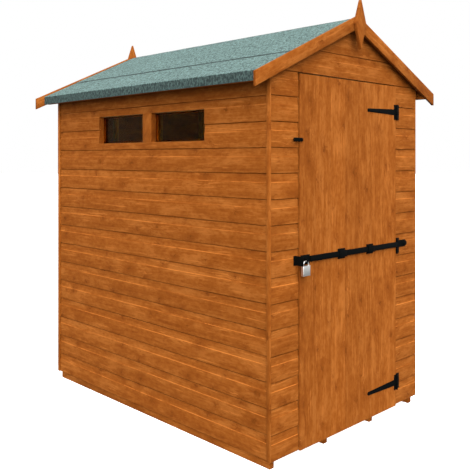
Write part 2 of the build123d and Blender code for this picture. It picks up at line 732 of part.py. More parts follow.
def build_parts():
    """Every node of the shed by name."""
    nodes = {"bearer_%d" % (index + 1): bearer(index) for index in range(BEARER_COUNT)}
    nodes["floor"] = floor_panel()
    nodes["front_wall_left"] = front_wall(-1)
    nodes["front_wall_right"] = front_wall(1)
    nodes["front_gable"] = front_gable()
    nodes["back_wall"] = back_wall()
    nodes["left_wall"] = left_wall()
    nodes["right_wall"] = side_wall(1)
    nodes["corner_trims"] = gather(*[corner_trim(side, end) for side in (-1, 1) for end in (-1, 1)])
    nodes["front_frame"] = front_frame()
    nodes["back_frame"] = back_frame()
    nodes["left_frame"] = left_frame()
    nodes["right_frame"] = right_frame()
    nodes["window_mullion"] = window_mullion()
    nodes["window_beads"] = window_beads()
    nodes["window_glass_front"] = window_glass(0)
    nodes["window_glass_back"] = window_glass(1)
    nodes["eave_battens"] = eave_battens()
    nodes["purlins"] = purlins()
    nodes["felt_ridge"] = felt_ridge()
    for name, side in (("left", -1), ("right", 1)):
        nodes["roof_board_" + name] = roof_board(side)
        nodes["felt_" + name] = felt(side)
        nodes["barge_front_" + name] = barge(side, -1)
        nodes["barge_back_" + name] = barge(side, 1)
    nodes["finial_front"] = finial(-1)
    nodes["finial_back"] = finial(1)
    nodes["door_boards"] = door_boards()
    nodes["door_ledges"] = door_ledges()
    for name, level in (("upper", UPPER_HINGE), ("lower", LOWER_HINGE)):
        nodes[name + "_hinge_strap"] = hinge_strap(REVEAL + level)
        nodes[name + "_hinge_plate"] = hinge_plate(REVEAL + level, PLATE_HEIGHT, STRAP_ROOT)
    nodes["security_bar"] = security_bar()
    nodes["bar_keepers"] = bar_keepers()
    nodes["bar_hinge_plate"] = bar_hinge_plate()
    nodes["staple_plate"] = staple_plate()
    nodes["padlock_body"] = padlock_body()
    nodes["padlock_shackle"] = padlock_shackle()
    nodes["turn_button"] = turn_button()
    return nodes


os.makedirs("parts", exist_ok=True)
for node, solid in build_parts().items():
    export_step(solid, "parts/%s.step" % node)
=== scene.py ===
import math
import random

import bmesh
import bpy
from bpy.props import FloatProperty, FloatVectorProperty, IntProperty, PointerProperty
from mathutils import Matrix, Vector, noise


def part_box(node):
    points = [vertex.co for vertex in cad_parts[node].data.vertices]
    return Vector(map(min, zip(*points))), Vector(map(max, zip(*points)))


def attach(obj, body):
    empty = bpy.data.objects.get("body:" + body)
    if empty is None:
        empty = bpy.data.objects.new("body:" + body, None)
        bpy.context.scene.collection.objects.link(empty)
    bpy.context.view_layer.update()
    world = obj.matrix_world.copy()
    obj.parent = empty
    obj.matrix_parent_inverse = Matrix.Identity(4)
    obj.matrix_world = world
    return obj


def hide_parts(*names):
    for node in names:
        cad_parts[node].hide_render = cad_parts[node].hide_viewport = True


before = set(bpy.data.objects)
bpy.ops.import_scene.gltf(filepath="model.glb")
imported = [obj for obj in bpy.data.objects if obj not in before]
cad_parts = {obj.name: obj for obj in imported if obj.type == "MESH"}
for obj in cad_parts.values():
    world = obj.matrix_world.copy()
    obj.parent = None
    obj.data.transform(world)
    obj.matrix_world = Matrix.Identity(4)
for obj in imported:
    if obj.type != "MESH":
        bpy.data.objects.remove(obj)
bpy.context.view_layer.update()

bl_info = {
    "name": "Garden shed finishes",
    "version": (1, 0, 0),
    "blender": (4, 5, 0),
    "location": "View3D > Sidebar > Shed",
    "description": "Boards, felt, ironwork and glass for a wooden apex garden shed",
    "category": "Object",
}

UP = Vector((0, 0, 1))

# Boxes of the frame's pieces that others are fitted to
LEFT_LOW, LEFT_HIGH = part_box("left_wall")
RIGHT_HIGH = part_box("right_wall")[1]
FRONT_LEFT_LOW, FRONT_LEFT_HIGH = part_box("front_wall_left")
FRONT_RIGHT_LOW, FRONT_RIGHT_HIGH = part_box("front_wall_right")
BACK_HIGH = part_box("back_wall")[1]
DOOR_LOW, DOOR_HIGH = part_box("door_boards")
MULLION_LOW, MULLION_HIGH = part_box("window_mullion")
PANE_FRONT_LOW, PANE_FRONT_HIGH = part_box("window_glass_front")
PANE_BACK_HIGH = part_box("window_glass_back")[1]
FELT_LOW, FELT_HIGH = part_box("felt_right")
CAP_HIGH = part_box("felt_ridge")[1]
ROOF_LOW, ROOF_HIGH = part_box("roof_board_right")
FLOOR_LOW, FLOOR_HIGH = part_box("floor")
BOARD_THICK = FRONT_LEFT_HIGH.y - FRONT_LEFT_LOW.y


# Settings

def a_length(name, text, value, low=0.0):
    """A length in metres."""
    return FloatProperty(name=name, description=text, default=value, min=low,
                         unit="LENGTH", subtype="DISTANCE")


def an_angle(name, text, degrees):
    """An angle, given in degrees."""
    return FloatProperty(name=name, description=text, default=math.radians(degrees),
                         unit="ROTATION", subtype="ANGLE")


def a_colour(name, text, value):
    """A linear colour."""
    return FloatVectorProperty(name=name, description=text, default=value, min=0.0, max=1.0,
                               subtype="COLOR")


def a_number(name, text, value):
    """A number without a unit."""
    return FloatProperty(name=name, description=text, default=value)


class BoardSizes(bpy.types.PropertyGroup):
    """Sizes of the shiplap and of the other boards."""
    cover: a_length("Cover", "Height that one wall board covers", 0.1164, 0.05)
    flat: a_length("Flat", "Height of the board's flat face", 0.072, 0.01)
    shoulder_rise: a_length("Shoulder rise", "Height of the rounded shoulder", 0.0045)
    shoulder_depth: a_length("Shoulder depth", "How far the shoulder steps back", 0.002)
    scoop_depth: a_length("Scoop depth", "Depth of the scoop at its top", 0.0026)
    hollow: a_length("Hollow", "How far the scoop's middle is hollowed", 0.0006)
    groove: a_length("Groove", "Height of the shadow gap under the next board", 0.003, 0.001)
    lip: a_length("Lip", "Thickness of the lip that laps the board below", 0.0074, 0.002)
    tongue: a_length("Tongue", "Height of the tongue behind the next lip", 0.004, 0.001)
    play: a_length("Play", "Gap between boards that meet", 0.0003)
    arris: a_length("Arris", "Radius of an eased edge", 0.0014)
    warp: a_length("Warp", "How far a board's face wanders from true", 0.0006)
    station: a_length("Station", "Spacing of the sections along a board", 0.12, 0.02)
    door_vee: a_length("Door vee", "Chamfer at each joint of the door", 0.0008)
    door_shade: a_length("Door shade", "Width of the darker band beside each joint", 0.005)
    gap_fill: a_length("Gap fill", "How far the wall's boards reach into the door's gap", 0.0025)
    floor_board: a_length("Floor board", "Width of a floor or roof board", 0.1, 0.03)
    door_boards: IntProperty(name="Door boards", description="Upright boards in the door", default=7, min=1)
    doorway_rows: IntProperty(name="Doorway rows", description="Rows of boards beside the doorway",
                              default=15, min=1)


class RoofSizes(bpy.types.PropertyGroup):
    """Sizes of the felt and the roof's slope."""
    pitch: an_angle("Pitch", "Slope of the roof", 24.8)
    felt: a_length("Felt", "Thickness of the felt", 0.002)
    bend: a_length("Bend", "Radius of the felt's turn over the eave", 0.007)
    crown: a_length("Crown", "Half the width of the capping's rounded top", 0.02)
    ripple: a_length("Ripple", "Height of the felt's ripples", 0.0012)
    strip: a_length("Strip", "Spacing of the sections along the felt", 0.03, 0.005)
    # Painted shadow: the dark bitumen-coloured line on the felt just below the capping's edge stands in for
    # the capping's shadow.
    cap_shadow_width: a_length("Seal", "Width of the bitumen line below the capping", 0.004)


class MetalSizes(bpy.types.PropertyGroup):
    """Sizes of fixings."""
    nail: a_length("Nail", "Radius of a nail head", 0.0022)
    screw: a_length("Screw", "Radius of a screw head", 0.0042)
    ease: a_length("Ease", "Radius of the ironwork's eased edges", 0.0006)
    leaf: a_length("Leaf", "Thickness of the plates and straps", 0.003)
    keeper: a_length("Keeper", "Width of one keeper of the bar", 0.058)


class ShedColours(bpy.types.PropertyGroup):
    """Colours of the finishes."""
    stain_dark: a_colour("Stain, dark grain", "Late wood under the stain", (0.150, 0.036, 0.0032))
    stain_mid: a_colour("Stain, middle", "Stained board as a whole", (0.205, 0.0565, 0.0068))
    stain_pale: a_colour("Stain, pale grain", "Early wood under the stain", (0.262, 0.083, 0.0140))
    stain_knot: a_colour("Stain, knot", "Knots under the stain", (0.112, 0.026, 0.0022))
    bare_dark: a_colour("Bare, dark grain", "Late wood inside", (0.30, 0.16, 0.06))
    bare_mid: a_colour("Bare, middle", "Bare softwood inside", (0.42, 0.25, 0.11))
    bare_pale: a_colour("Bare, pale grain", "Early wood inside", (0.52, 0.34, 0.17))
    bare_knot: a_colour("Bare, knot", "Knots inside", (0.12, 0.05, 0.018))
    felt: a_colour("Felt", "Green mineral granules", (0.082, 0.127, 0.119))
    felt_edge: a_colour("Felt edge", "Bitumen at the felt's cut edge", (0.02, 0.024, 0.024))
    iron: a_colour("Iron", "Black coating of the ironwork", (0.0013, 0.0016, 0.0015))
    steel: a_colour("Steel", "Padlock", (0.62, 0.62, 0.6))
    glass: a_colour("Glass", "Tint of the panes", (1.0, 0.75, 0.2))


class StudioSettings(bpy.types.PropertyGroup):
    """Camera and light."""
    lens: a_number("Lens", "Focal length in millimetres", 51.354)
    shift_x: a_number("Shift X", "Sideways shift of the picture", -0.0039)
    shift_y: a_number("Shift Y", "Upward shift of the picture", -0.1622)
    place: FloatVectorProperty(name="Camera", description="Where the camera stands",
                               default=(-2.797, -2.918, 1.387), unit="LENGTH", subtype="XYZ")
    yaw: an_angle("Yaw", "Turn of the camera away from the front", -44.63)
    key: a_number("Key light", "Strength of the overhead light", 7.6)
    key_spread: an_angle("Key spread", "How wide the overhead light is", 80)
    key_from: FloatVectorProperty(name="Key from", description="Direction that the light comes from",
                                  default=(-0.50, -0.60, 0.62), subtype="DIRECTION")
    dome: a_number("Dome", "Strength of the light from above", 1.0)
    ground: a_number("Ground", "Strength of the light from below", 0.3)
    floor: a_length("Floor", "Radius of the studio floor", 60.0)


# Shader expressions

class Value:
    """One output of a node, which can be used in an expression."""

    def __init__(self, finish, socket):
        self.finish = finish
        self.socket = socket

    def operate(self, operation, *others):
        """A Math node on this value, or a Vector Math node where it is a vector."""
        if self.socket.type in ("VECTOR", "RGBA"):
            return self.finish.vector_math(operation, self, *others)
        return self.finish.number_math(operation, self, *others)

    def __add__(self, other):
        return self.operate("ADD", other)

    __radd__ = __add__

    def __mul__(self, other):
        return self.operate("MULTIPLY", other)

    __rmul__ = __mul__

    def __sub__(self, other):
        return self.operate("SUBTRACT", other)

    def __rsub__(self, other):
        return self.finish.number_math("SUBTRACT", other, self)

    def __truediv__(self, other):
        return self.operate("DIVIDE", other)

    def __pow__(self, other):
        return self.operate("POWER", other)

    def above(self, low, high):
        """Zero up to low, one from high on, with a soft rise between."""
        return self.finish.node("ShaderNodeMapRange", {"interpolation_type": "SMOOTHSTEP"},
                                {"Value": self, "From Min": low, "From Max": high}, "Result")

    def parts(self):
        """The three numbers of a vector."""
        node = self.finish.add("ShaderNodeSeparateXYZ", {}, {"Vector": self})
        return [Value(self.finish, output) for output in node.outputs]


class Finish:
    """A material under construction."""

    def __init__(self, name):
        self.material = bpy.data.materials.new(name)
        self.material.use_nodes = True
        self.tree = self.material.node_tree
        self.tree.nodes.clear()

    def add(self, kind, settings, inputs):
        """Add a node of a type, set its settings and then its sockets."""
        node = self.tree.nodes.new(kind)
        for name, value in settings.items():
            if name == "stops":
                self.set_stops(node.color_ramp, value)
            else:
                setattr(node, name, value)
        for name, value in inputs.items():
            self.feed(node, name, value)
        return node

    def node(self, kind, settings, inputs, output):
        """Add a node and return one of its outputs as a value."""
        found = [s for s in self.add(kind, settings, inputs).outputs if s.name == output and s.enabled]
        return Value(self, found[0])

    def feed(self, node, name, value):
        """Set or link the enabled socket of that name."""
        if isinstance(name, int):
            socket = node.inputs[name]
        else:
            socket = [s for s in node.inputs if s.name == name and s.enabled][0]
        if isinstance(value, Value):
            self.tree.links.new(value.socket, socket)
        elif socket.type == "RGBA" and len(value) == 3:
            socket.default_value = (*value, 1)
        else:
            socket.default_value = value

    def set_stops(self, ramp, stops):
        """Give a colour ramp its positions and colours."""
        while len(ramp.elements) < len(stops):
            ramp.elements.new(1)
        for element, (position, colour) in zip(ramp.elements, stops):
            element.position = position
            element.color = (*colour, 1)

    def number_math(self, operation, *values):
        """A Math node."""
        return self.node("ShaderNodeMath", {"operation": operation}, dict(enumerate(values)), "Value")

    def vector_math(self, operation, *values):
        """A Vector Math node, where a plain number counts three times."""
        inputs = {}
        for index, value in enumerate(values):
            inputs[index] = (value,) * 3 if isinstance(value, (int, float)) else value
        return self.node("ShaderNodeVectorMath", {"operation": operation}, inputs, "Vector")

    def vector(self, x, y, z):
        """A vector from three values."""
        return self.node("ShaderNodeCombineXYZ", {}, {"X": x, "Y": y, "Z": z}, "Vector")

    def attribute(self, name, output):
        """What a mesh says of itself under a name."""
        return self.node("ShaderNodeAttribute", {"attribute_name": name}, {}, output)

    def noise(self, place, detail=2.0, roughness=0.5, scale=1.0):
        """Cloudy noise from nought to one."""
        inputs = {"Vector": place, "Scale": scale, "Detail": detail, "Roughness": roughness}
        return self.node("ShaderNodeTexNoise", {}, inputs, "Fac")

    def mix(self, base, over, factor):
        """One colour laid over another."""
        inputs = {"Factor": factor, "A": base, "B": over}
        return self.node("ShaderNodeMix", {"data_type": "RGBA"}, inputs, "Result")

    def shade(self, colour, factor):
        """A colour made lighter or darker by a number."""
        return self.node("ShaderNodeVectorMath", {"operation": "SCALE"},
                         {"Vector": colour, "Scale": factor}, "Vector")

    def bump(self, height, strength, distance):
        """A normal from a height."""
        inputs = {"Height": height, "Strength": strength, "Distance": distance}
        return self.node("ShaderNodeBump", {}, inputs, "Normal")

    def surface(self, inputs):
        """Finish the material with a Principled shader."""
        shader = self.add("ShaderNodeBsdfPrincipled", {}, inputs)
        output = self.add("ShaderNodeOutputMaterial", {}, {})
        self.tree.links.new(shader.outputs["BSDF"], output.inputs["Surface"])
        return self.material


# Finishes

def timber(name, dark, middle, pale, knot):
    """Softwood with arched grain, patches, streaks, slanting knots, painted highlights on edges and painted
    shade in grooves.

    The mesh gives the place along the grain, the board's tone, and an edge mark: above nought a painted
    highlight on shoulders and arrises, partly rubbed-pale wear; below nought painted shade in grooves and
    joints.
    """
    wood = Finish(name)
    along, across, deep = wood.attribute("grain", "Vector").parts()
    tone = wood.attribute("tone", "Fac")
    edge = wood.attribute("edge", "Fac")

    bright = [1.28 * part for part in pale]
    painted_highlight_and_wear = [1.7 * part for part in pale]

    def figure(run, spread, detail, roughness=0.5, side=across):
        """Noise that is drawn out along the board."""
        place = wood.vector(along * run, side * spread, deep * spread)
        return wood.noise(place, detail, roughness)

    ragged = figure(60, 60, 2) - 0.5
    cells = wood.vector(along * 0.8 + across * 0.55 + ragged * 0.06, across + ragged * 0.05, deep)
    knots = wood.add("ShaderNodeTexVoronoi", {"voronoi_dimensions": "2D"}, {"Vector": cells, "Scale": 7.0})
    away = Value(wood, knots.outputs["Distance"])
    luck = Value(wood, knots.outputs["Color"]).parts()[0]
    size = luck * 0.12 + 0.02
    core = (1 - (away / size).above(0.2, 1.1)) * luck.above(0.15, 0.3)
    halo = (1 - (away / size).above(0.6, 4.0)) * luck.above(0.2, 0.4)

    sway = figure(1.1, 5, 2) - 0.5
    rise = wood.noise(wood.vector(along * 0.9, deep * 3 + 7, 0.0), detail=1) * 0.16 - 0.02
    bent = across - 0.055 + sway * 0.034 + halo * 0.012
    ring = (bent * bent + rise * rise) ** 0.5
    arches = wood.noise(wood.vector(along * 0.5, ring * 100, deep * 3), detail=2, roughness=0.6)
    streaks = figure(2.4, 100, 3, 0.6, bent)
    fibres = figure(9, 420, 3, 0.65, bent)
    patches = figure(5, 17, 4, 0.7)
    dabs = figure(34, 62, 2, 0.6)
    flecks = figure(26, 150, 1, side=bent)
    glints = figure(4, 140, 2, side=bent)

    grain = arches * 0.14 + streaks * 0.24 + fibres * 0.1 + patches * 0.28 + dabs * 0.24
    stops = [(0.39, dark), (0.5, middle), (0.61, pale)]
    colour = wood.node("ShaderNodeValToRGB", {"stops": stops}, {"Fac": grain}, "Color")
    colour = wood.mix(colour, pale, patches.above(0.52, 0.64) * 0.55)
    colour = wood.mix(colour, bright, glints.above(0.58, 0.72) * patches.above(0.42, 0.56) * 0.9)
    colour = wood.mix(colour, dark, flecks.above(0.60, 0.72) * 0.6)
    colour = wood.mix(colour, dark, halo * (streaks.above(0.42, 0.58) * 0.7 + 0.15))
    colour = wood.mix(colour, knot, core * (dabs.above(0.35, 0.6) * 0.6 + 0.25))
    # Painted highlight on shoulders and eased arrises, partly standing for rubbed-pale wear.
    colour = wood.mix(colour, painted_highlight_and_wear, edge.above(0.2, 1.0) * (streaks.above(0.46, 0.56) * 0.9 + 0.05))
    # Painted shade in grooves, door joints and the door's edges.
    colour = wood.mix(colour, knot, (edge * -1.0).above(0.0, 1.0) * 0.65)
    colour = wood.shade(colour, 1 + tone * 0.05)

    relief = streaks * 0.6 + fibres * 0.5 - core * 0.4
    return wood.surface({
        "Base Color": colour,
        "Roughness": 0.82 - glints.above(0.5, 0.75) * 0.12,
        "Specular IOR Level": 0.05,
        "Normal": wood.bump(relief, 0.35, 0.0012),
    })


def mineral_felt(name, colour, dark):
    """Roofing felt faced with granules, turned to the bitumen colour where the mesh marks the painted shadow
    below the capping.
    """
    felt = Finish(name)
    place = felt.attribute("grain", "Vector")
    along, across, deep = place.parts()
    stretched = felt.vector(along * 105, across * 58, deep * 58)
    painted_cap_shadow = felt.attribute("edge", "Fac").above(0.0, 1.0)
    granules = felt.noise(stretched, detail=2, roughness=0.75)
    spots = felt.noise(stretched * 0.8 + 40.0, detail=1, roughness=0.6)
    grit = felt.noise(place, detail=2, roughness=0.7, scale=520)
    chips = felt.node("ShaderNodeTexVoronoi", {}, {"Vector": place, "Scale": 210.0}, "Distance")
    clouds = felt.noise(place, detail=4, roughness=0.6, scale=7)
    tint = felt.shade(colour, 0.3 + granules.above(0.33, 0.67) * 1.15 + grit.above(0.3, 0.7) * 0.35)
    tint = felt.mix(tint, dark, spots.above(0.52, 0.66) * 0.55)
    # Painted shadow of the capping: a dark band in the bitumen colour just below its edge.
    tint = felt.mix(tint, dark, painted_cap_shadow * 0.85)
    tint = felt.shade(tint, 0.86 + clouds * 0.28)
    return felt.surface({
        "Base Color": tint,
        "Roughness": 0.95,
        "Specular IOR Level": 0.1,
        "Normal": felt.bump(granules + chips + grit * 0.5, 0.8, 0.0014),
    })


def bitumen(name, colour):
    """The felt's cut edge and underside."""
    tar = Finish(name)
    place = tar.attribute("grain", "Vector")
    dabs = tar.noise(place, detail=3, scale=160)
    return tar.surface({
        "Base Color": tar.shade(colour, 0.7 + dabs * 0.6),
        "Roughness": 0.6 + dabs * 0.3,
        "Specular IOR Level": 0.3,
        "Normal": tar.bump(dabs, 0.4, 0.0008),
    })


def black_coat(name, colour):
    """Black powder coat on iron."""
    coat = Finish(name)
    place = coat.node("ShaderNodeTexCoord", {}, {}, "Object")
    orange_peel = coat.noise(place, detail=3, scale=900)
    wear = coat.noise(place, detail=4, roughness=0.7, scale=60)
    return coat.surface({
        "Base Color": coat.shade(colour, 0.7 + wear * 0.8),
        "Roughness": 0.45 + wear * 0.25,
        "Specular IOR Level": 0.03,
        "Normal": coat.bump(orange_peel, 0.25, 0.0003),
    })


def brushed_steel(name, colour):
    """Satin steel with fine upright brushing."""
    steel = Finish(name)
    x, y, z = steel.node("ShaderNodeTexCoord", {}, {}, "Object").parts()
    brushing = steel.noise(steel.vector(x * 2600, y * 2600, z * 60), detail=2)
    smears = steel.noise(steel.vector(x * 90, y * 90, z * 60), detail=3)
    return steel.surface({
        "Base Color": steel.shade(colour, 0.86 + brushing * 0.28),
        "Metallic": 1.0,
        "Roughness": 0.3 + smears * 0.25,
        "Normal": steel.bump(brushing, 0.12, 0.0002),
    })


def window_pane(name, tint):
    """Clear glazing with a little dust."""
    glass = Finish(name)
    place = glass.node("ShaderNodeTexCoord", {}, {}, "Object")
    dust = glass.noise(place, detail=4, roughness=0.7, scale=45)
    return glass.surface({
        "Base Color": glass.mix(tint, [0.8 * part for part in tint], dust.above(0.4, 0.7)),
        "Roughness": 0.01,
        "Transmission Weight": 1.0,
        "IOR": 1.1,
        "Specular Tint": (1.0, 0.62, 0.2, 1.0),
    })


def pale_floor(name):
    """A bright studio floor that takes only a faint shadow."""
    paper = Finish(name)
    place = paper.node("ShaderNodeTexCoord", {}, {}, "Object")
    mottle = paper.noise(place, detail=2, scale=3)
    return paper.surface({
        "Base Color": paper.mix((0.80, 0.80, 0.80), (0.84, 0.84, 0.84), mottle),
        "Roughness": 0.9,
        "Specular IOR Level": 0.0,
        "Emission Color": (1, 1, 1),
        "Emission Strength": 0.85,
    })


def finishes():
    """Every finish by name, made once."""
    if not MATERIALS:
        colours = bpy.context.scene.shed_colours
        stain = [colours.stain_dark, colours.stain_mid, colours.stain_pale, colours.stain_knot]
        bare = [colours.bare_dark, colours.bare_mid, colours.bare_pale, colours.bare_knot]
        ends = [colours.stain_knot, colours.stain_dark, colours.stain_mid, colours.stain_knot]
        MATERIALS.update(
            stained=timber("Stained board", *stain),
            end_grain=timber("Stained end grain", *ends),
            bare=timber("Bare softwood", *bare),
            felt=mineral_felt("Green mineral felt", colours.felt, colours.felt_edge),
            # Painted shade: a darker copy of the felt for the band turned down over the eave.
            felt_drop=mineral_felt("Felt over the eave", [0.42 * c for c in colours.felt], colours.felt_edge),
            tar=bitumen("Felt edge", colours.felt_edge),
            iron=black_coat("Black ironwork", colours.iron),
            steel=brushed_steel("Padlock steel", colours.steel),
            glass=window_pane("Window glass", colours.glass),
            floor=pale_floor("Studio floor"),
        )
    return MATERIALS


MATERIALS = {}


# Mesh helpers

class Mould:
    """A mesh under construction, with the grain, tone and edge mark of each point; the edge mark paints
    highlights and shade.
    """

    def __init__(self):
        self.bm = bmesh.new()
        self.grain = self.bm.verts.layers.float_vector.new("grain")
        self.tone = self.bm.verts.layers.float.new("tone")
        self.edge = self.bm.verts.layers.float.new("edge")

    def point(self, place, grain, tone=0.0, edge=0.0):
        """A vertex with what its finish needs."""
        vert = self.bm.verts.new(place)
        vert[self.grain] = grain
        vert[self.tone] = tone
        vert[self.edge] = edge
        return vert

    def cut(self, point, normal, finish=0):
        """Take away what lies beyond a plane and close the cut."""
        parts = self.bm.verts[:] + self.bm.edges[:] + self.bm.faces[:]
        found = bmesh.ops.bisect_plane(self.bm, geom=parts, plane_co=point, plane_no=normal,
                                       clear_outer=True)
        edges = [part for part in found["geom_cut"] if isinstance(part, bmesh.types.BMEdge)]
        if edges:
            closed = bmesh.ops.holes_fill(self.bm, edges=edges, sides=0)
            for face in closed["faces"]:
                face.material_index = finish

    def join(self, other):
        """Take in another mould's mesh."""
        mesh = bpy.data.meshes.new("part")
        other.bm.to_mesh(mesh)
        other.bm.free()
        self.bm.from_mesh(mesh)
        bpy.data.meshes.remove(mesh)

    def piece(self, name, materials, body, slot, *nodes):
        """Make the object, which rides on a body and stands for the given nodes."""
        bmesh.ops.recalc_face_normals(self.bm, faces=self.bm.faces)
        mesh = bpy.data.meshes.new(name)
        self.bm.to_mesh(mesh)
        self.bm.free()
        for material in materials:
            mesh.materials.append(finishes()[material])
        mesh.shade_smooth()
        mesh.set_sharp_from_angle(angle=math.radians(32))
        piece = bpy.data.objects.new(name, mesh)
        bpy.context.scene.collection.objects.link(piece)
        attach(piece, body)
        if nodes:
            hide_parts(*nodes)
        return piece


def arc(centre, radius, first, last, steps):
    """Points on part of a circle or, with two radii, of an ellipse."""
    radii = radius if isinstance(radius, tuple) else (radius, radius)
    turns = [math.radians(first + (last - first) * step / steps) for step in range(steps + 1)]
    return [(centre[0] + radii[0] * math.cos(turn), centre[1] + radii[1] * math.sin(turn))
            for turn in turns]


def run_board(mould, outline, start, end, place, rng, station, warp, edges=None):
    """Run an outline of (depth, across) points from start to end along a board.

    place turns (along, depth, across) into a point of the shed.
    """
    count = max(2, round((end - start) / station) + 1)
    shift = rng.uniform(0, 90)
    slice_shift = rng.uniform(0, 90)
    tone = rng.uniform(-1, 1)
    phase = rng.uniform(0, math.tau)
    turns = rng.uniform(1.0, 2.2)
    rings = []
    for index in range(count):
        along = start + (end - start) * index / (count - 1)
        wander = warp * math.sin(phase + turns * along * 3)
        ring = []
        for number, (depth, across) in enumerate(outline):
            grain = (along + shift, across, depth + slice_shift)
            edge = edges[number] if edges else 0.0
            ring.append(mould.point(place(along, depth + abs(wander), across + wander), grain, tone, edge))
        rings.append(ring)
    for near, far in zip(rings, rings[1:]):
        for first in range(len(outline)):
            second = (first + 1) % len(outline)
            mould.bm.faces.new((near[first], near[second], far[second], far[first]))
    for ring in (rings[0], rings[-1]):
        mould.bm.faces.new(ring).material_index = 1


def node_mould(node):
    """A CAD node's solids as a clean mesh."""
    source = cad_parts[node].data
    mould = Mould()
    verts = {}
    for face in source.polygons:
        corners = []
        for index in face.vertices:
            place = source.vertices[index].co
            key = tuple(round(value, 5) for value in place)
            if key not in verts:
                verts[key] = mould.point(place, (0, 0, 0))
            if verts[key] not in corners:
                corners.append(verts[key])
        if len(corners) > 2 and not mould.bm.faces.get(corners):
            mould.bm.faces.new(corners)
    bmesh.ops.dissolve_limit(mould.bm, angle_limit=math.radians(0.5), verts=mould.bm.verts,
                             edges=mould.bm.edges)
    return mould


def islands(bm):
    """The separate solids of a mesh, each as a list of its vertices."""
    waiting = set(bm.verts)
    found = []
    for vert in bm.verts:
        if vert not in waiting:
            continue
        island, edge_of = [], [vert]
        waiting.discard(vert)
        while edge_of:
            here = edge_of.pop()
            island.append(here)
            for edge in here.link_edges:
                other = edge.other_vert(here)
                if other in waiting:
                    waiting.discard(other)
                    edge_of.append(other)
        found.append(island)
    return found


def lay_grain(mould, rng, tone=0.0):
    """Run the grain along the longest edge of each solid."""
    for island in islands(mould.bm):
        edges = [edge for vert in island for edge in vert.link_edges]
        longest = max(edges, key=lambda edge: edge.calc_length())
        along = (longest.verts[1].co - longest.verts[0].co).normalized()
        faces = [face for vert in island for face in vert.link_faces]
        broad = max((face for face in faces if abs(face.normal.dot(along)) < 0.5),
                    key=lambda face: face.calc_area())
        deep = broad.normal.copy()
        across = deep.cross(along).normalized()
        start = longest.verts[0].co.copy()
        shift, slice_shift = rng.uniform(0, 90), rng.uniform(0, 90)
        own_tone = tone + rng.uniform(-1, 1)
        for vert in island:
            away = vert.co - start
            vert[mould.grain] = (away.dot(along) + shift, away.dot(across), away.dot(deep) + slice_shift)
            vert[mould.tone] = own_tone
        for face in faces:
            face.material_index = 1 if abs(face.normal.dot(along)) > 0.75 else 0


def ease_edges(mould, radius, sharp=30, segments=2):
    """Round every edge that is sharper than an angle, and mark it for the pale edge colour, a painted
    highlight along the arris that also stands for rubbed-pale wear.
    """
    mould.bm.normal_update()
    limit = math.radians(sharp)
    edges = [edge for edge in mould.bm.edges
             if len(edge.link_faces) == 2 and edge.calc_face_angle(0) > limit]
    done = bmesh.ops.bevel(mould.bm, geom=edges, offset=radius, segments=segments, profile=0.5,
                           affect="EDGES", clamp_overlap=True, material=-1)
    eased = set(done["faces"])
    # Painted highlight: the rounded arrises take the brighter pale edge colour.
    for vert in done["verts"]:
        if all(face in eased for face in vert.link_faces):
            vert[mould.edge] = 0.5


def eased_timber(name, nodes, materials, body, slot, radius, tone=0.0):
    """Timber nodes with eased edges and the grain along each piece."""
    rng = random.Random(name)
    whole = Mould()
    for node in nodes:
        mould = node_mould(node)
        mould.bm.normal_update()
        lay_grain(mould, rng, tone)
        ease_edges(mould, radius)
        whole.join(mould)
    return whole.piece(name, materials, body, slot, *nodes)


def eased_metal(name, node, material, body, slot, radius, screws=(), head=0.0):
    """A metal node with eased edges, and screw heads on its front."""
    mould = node_mould(node)
    ease_edges(mould, radius, sharp=40)
    for place in screws:
        dome_head(mould, place, Vector((0, -1, 0)), head, head * 0.45)
    return mould.piece(name, [material], body, slot, node)


def dome_head(mould, centre, outward, radius, rise, sides=12, rings=3):
    """A low domed head on a face."""
    side = outward.orthogonal().normalized()
    other = outward.cross(side)
    previous = None
    for ring in range(rings):
        lean = math.pi / 2 * ring / rings
        reach, height = radius * math.cos(lean), rise * math.sin(lean)
        verts = []
        for index in range(sides):
            turn = math.tau * index / sides
            place = centre + (side * math.cos(turn) + other * math.sin(turn)) * reach + outward * height
            verts.append(mould.point(place, place))
        if previous:
            for index in range(sides):
                after = (index + 1) % sides
                mould.bm.faces.new((previous[index], previous[after], verts[after], verts[index]))
        else:
            mould.bm.faces.new(verts)
        previous = verts
    top = mould.point(centre + outward * rise, centre)
    for index in range(sides):
        mould.bm.faces.new((previous[index], previous[(index + 1) % sides], top))


# Walls

class Wall:
    """The outer face of a wall: where it starts, which way its boards run, and which way it faces."""

    def __init__(self, name, corner, run, outward, span, rows):
        self.name = name
        self.corner = Vector(corner)
        self.run = Vector(run)
        self.outward = Vector(outward)
        self.span = span
        self.rows = rows

    def place(self, along, depth, height):
        """A point by its distance along the wall, its depth behind the face and its height."""
        return self.corner + self.run * along - self.outward * depth + UP * height


